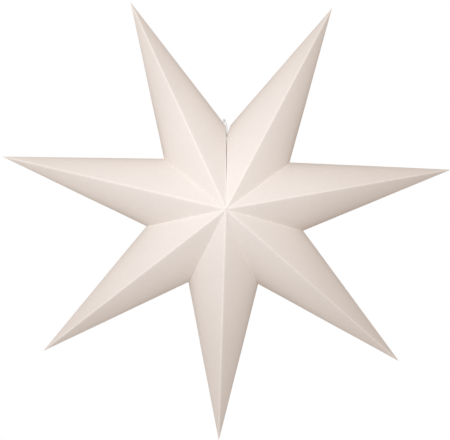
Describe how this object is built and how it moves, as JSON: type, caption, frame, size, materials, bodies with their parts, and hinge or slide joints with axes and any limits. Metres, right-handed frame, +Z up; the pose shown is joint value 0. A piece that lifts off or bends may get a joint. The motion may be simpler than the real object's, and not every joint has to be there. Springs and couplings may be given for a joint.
{
  "type": "paper advent star",
  "caption": "Hanging star of folded white paper points, glued along the valleys and tied shut along one seam at the top, hollow inside for a lamp.",
  "frame": {"origin": "the star's centre, halfway between its front and back centres, where a lamp hangs", "axes": "+Z up, through the open seam at the top valley; -Y towards the viewer, out of the star's front; +X to the viewer's right"},
  "size_m": [0.587, 0.15, 0.5694],
  "materials": {
    "paper": "matte",
    "thread": "matte"
  },
  "bodies": {
    "root": {"point_1": "paper", "point_2": "paper", "point_3": "paper", "point_4": "paper", "point_5": "paper", "point_6": "paper", "point_7": "paper", "tie_thread": "thread"}
  },
  "joints": []
}
